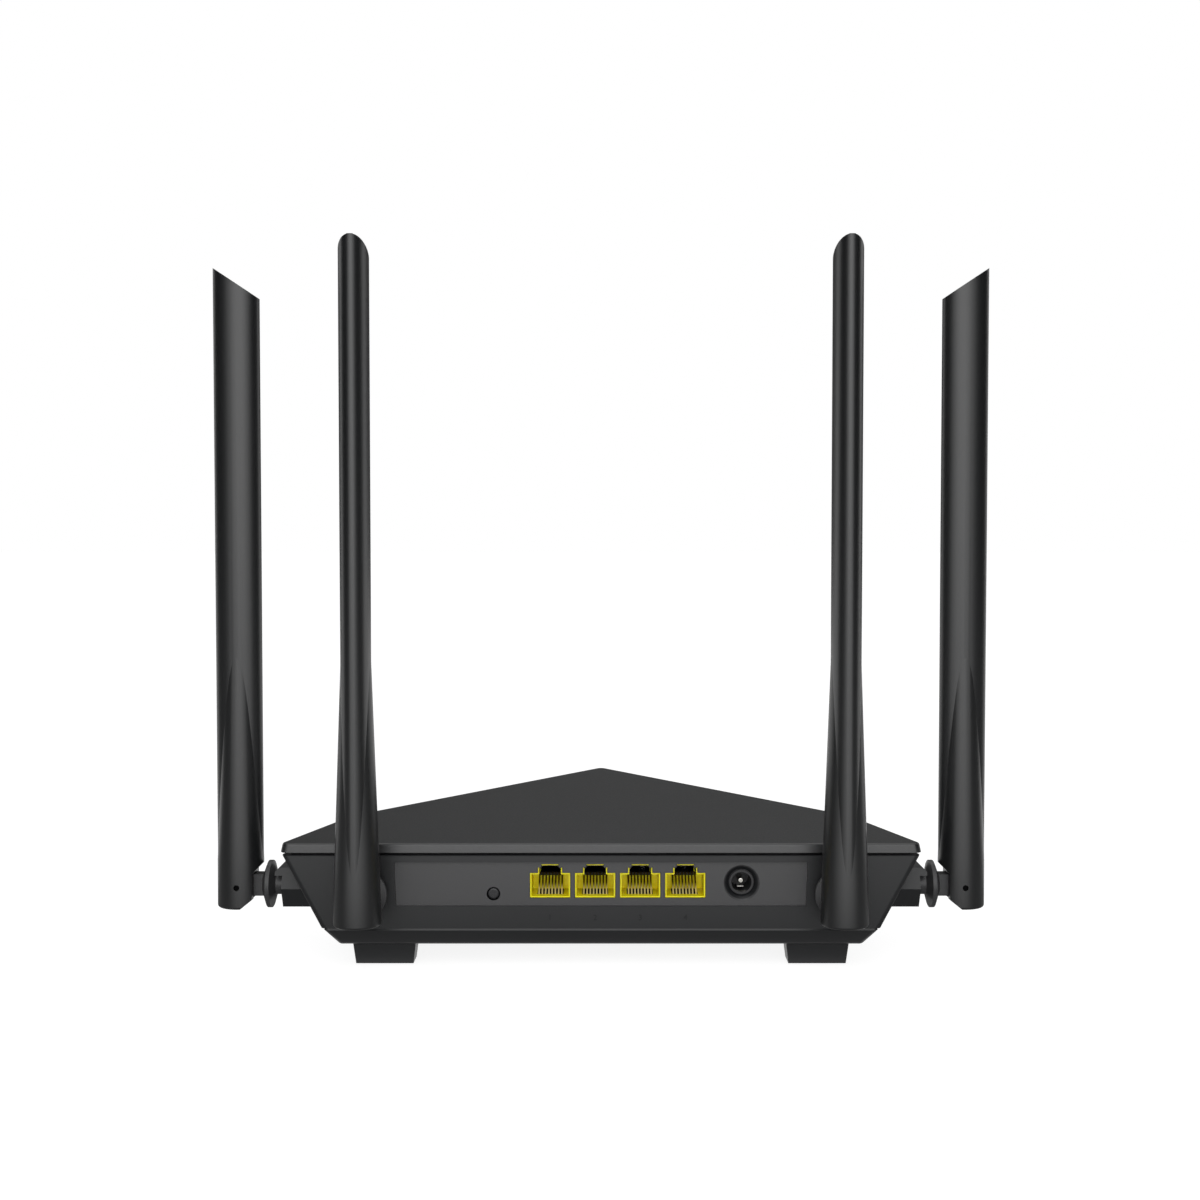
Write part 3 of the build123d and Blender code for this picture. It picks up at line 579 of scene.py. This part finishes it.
def makeWorld():
    # a soft field of light, strongest from the camera's side of the set
    world = bpy.data.worlds.new("studio")
    scene.world = world
    world.use_nodes = True
    tree = world.node_tree
    around = addNode(tree, "ShaderNodeTexCoord", {}).outputs["Generated"]
    axes = addNode(tree, "ShaderNodeSeparateXYZ", {"Vector": around}).outputs
    field = addNode(tree, "ShaderNodeMapRange", {"Value": axes["Y"], "From Min": 0.0, "From Max": -1.0,
                                                 "To Min": studio["fieldBack"],
                                                 "To Max": studio["fieldFront"]})
    level = addNode(tree, "ShaderNodeMix", {"Factor": seenDirectly(tree), "A": field, "B": 1.0})
    plug(tree, tree.nodes["Background"], {"Color": srgb(studio["white"]), "Strength": level})


lamps = {
    "frontBox": {"place": (0, -1.75, 1.0), "aim": (0, 0, 0.6), "size": (1.4, 1.9), "power": 11.5},
    # low and polarised, so it reaches into the jacks without adding gloss
    "fillBox": {"place": (0, -1.2, 0.12), "aim": (0, 0, 0.03), "size": (0.5, 0.2), "power": 4.0,
                "gloss": False},
    "topBox": {"place": (0, 0.2, 2.0), "aim": (0, 0, 0), "size": (1.6, 1.6), "power": 2.0},
    "noseBox": {"place": (0.3, 1.5, 1.5), "aim": (0, 0, 0.1), "size": (1.4, 1.0), "power": 2.0},
}


def softbox(name, place, aim, size, power, gloss=True):
    clearSelection()
    bpy.ops.object.light_add(type="AREA", location=place)
    lamp = bpy.context.object
    lamp.name = name
    lamp.data.shape = "RECTANGLE"
    lamp.data.size, lamp.data.size_y = size
    lamp.data.energy = power
    lamp.visible_glossy = gloss
    lamp.rotation_euler = (Vector(aim) - Vector(place)).to_track_quat("-Z", "Y").to_euler()


# a fade is where the mat starts to show and where it is whole
cards = {"black": "161616", "grey": "696969", "farWall": 1.9, "farHeight": 2.0,
         "flagRadius": 1.5, "flagAngles": (38.0, 106.0), "flagHeight": 2.0,
         "matHalf": 1.6, "matEnd": 0.05, "matLift": 0.0002, "matCover": 0.8,
         "nearFade": (-0.19, -0.112), "underFade": (-0.0435, -0.0565), "underHalf": 0.09,
         "apronX": 0.10, "apronFade": (0.42, 0.80)}


def velvet(name, colour):
    # cloth with no sheen of its own: it gives the gloss of the sleeves its dark bands
    material, tree, shader, place = startMaterial(name)
    plug(tree, shader, {"Base Color": srgb(colour), "Roughness": 1.0, "Specular IOR Level": 0.0})
    return material, tree, shader, place


def softMat():
    # the cloth on the table fades out well ahead of the rear wall and below the case, but not beside it
    c = cards
    material, tree, shader, place = velvet("black velvet mat", c["black"])
    axes = addNode(tree, "ShaderNodeSeparateXYZ", {"Vector": place}).outputs
    width = addNode(tree, "ShaderNodeMath", {0: axes["X"]}, operation="ABSOLUTE")
    # how far out beside the case, for each metre ahead
    beyond = addNode(tree, "ShaderNodeMath", {0: width, 1: c["apronX"]}, operation="SUBTRACT")
    ahead = addNode(tree, "ShaderNodeMath", {0: axes["Y"], 1: -1.0}, operation="MULTIPLY")
    turn = addNode(tree, "ShaderNodeMath", {0: beyond, 1: ahead}, operation="DIVIDE")
    fades = []
    for value, key in ((axes["Y"], "nearFade"), (axes["Y"], "underFade"), (turn, "apronFade")):
        fade = {"Value": value, "From Min": c[key][0], "From Max": c[key][1]}
        fades.append(addNode(tree, "ShaderNodeMapRange", fade, interpolation_type="SMOOTHSTEP"))
    near, under, apron = fades
    # the fade below the case ends short of the side antennas
    outside = addNode(tree, "ShaderNodeMath", {0: width, 1: c["underHalf"]}, operation="GREATER_THAN")
    kept = addNode(tree, "ShaderNodeMath", {0: under, 1: outside}, operation="MAXIMUM")
    middle = addNode(tree, "ShaderNodeMath", {0: near, 1: kept}, operation="MULTIPLY")
    cover = addNode(tree, "ShaderNodeMath", {0: middle, 1: apron}, operation="MAXIMUM")
    thin = addNode(tree, "ShaderNodeMath", {0: cover, 1: c["matCover"]}, operation="MULTIPLY")
    plug(tree, shader, {"Alpha": thin})
    return material


def darkCard(name, corners, material):
    # out of the picture and out of the light, seen in gloss alone
    clearSelection()
    bpy.ops.mesh.primitive_plane_add(size=1.0)
    card = newPiece(name)
    for vertex, corner in zip(card.data.vertices, corners):
        vertex.co = corner
    finish(card, material)
    card.visible_camera = False
    card.visible_diffuse = False
    card.visible_shadow = False


def setCards():
    c = cards
    cloth = velvet("black velvet", c["black"])[0]
    for name, side in (("leftFlag", -1), ("rightFlag", 1)):
        near, far = [(side * c["flagRadius"] * math.sin(math.radians(a)),
                      -c["flagRadius"] * math.cos(math.radians(a))) for a in c["flagAngles"]]
        darkCard(name, [(*near, 0), (*far, 0), (*near, c["flagHeight"]), (*far, c["flagHeight"])], cloth)
    wide, end, lift = c["matHalf"], c["matEnd"], c["matLift"]
    darkCard("mat", [(-wide, -wide, lift), (wide, -wide, lift), (-wide, end, lift), (wide, end, lift)],
             softMat())
    far, high = c["farWall"], c["farHeight"]
    darkCard("farFlag", [(-far, far, 0), (far, far, 0), (-far, far, high), (far, far, high)],
             velvet("grey cloth", c["grey"])[0])


# behind the rear wall and above the table; lens and sensor in millimetres
view = {"back": 0.48, "high": 0.1323, "tiltDown": 2.107, "lens": 46.8, "sensor": 36.0, "shift": -0.0008,
        "nearest": 0.01}


def placeCamera():
    clearSelection()
    bpy.ops.object.camera_add(location=(0, rearY - view["back"], view["high"]),
                              rotation=(math.radians(90 - view["tiltDown"]), 0, 0))
    camera = bpy.context.object
    camera.data.lens = view["lens"]
    camera.data.sensor_width = view["sensor"]
    camera.data.shift_x = view["shift"]
    camera.data.clip_start = view["nearest"]
    scene.camera = camera
    scene.view_settings.view_transform = "Standard"


makeFloor()
makeWorld()
for name, lamp in lamps.items():
    softbox(name, **lamp)
setCards()
placeCamera()
print("stage set")
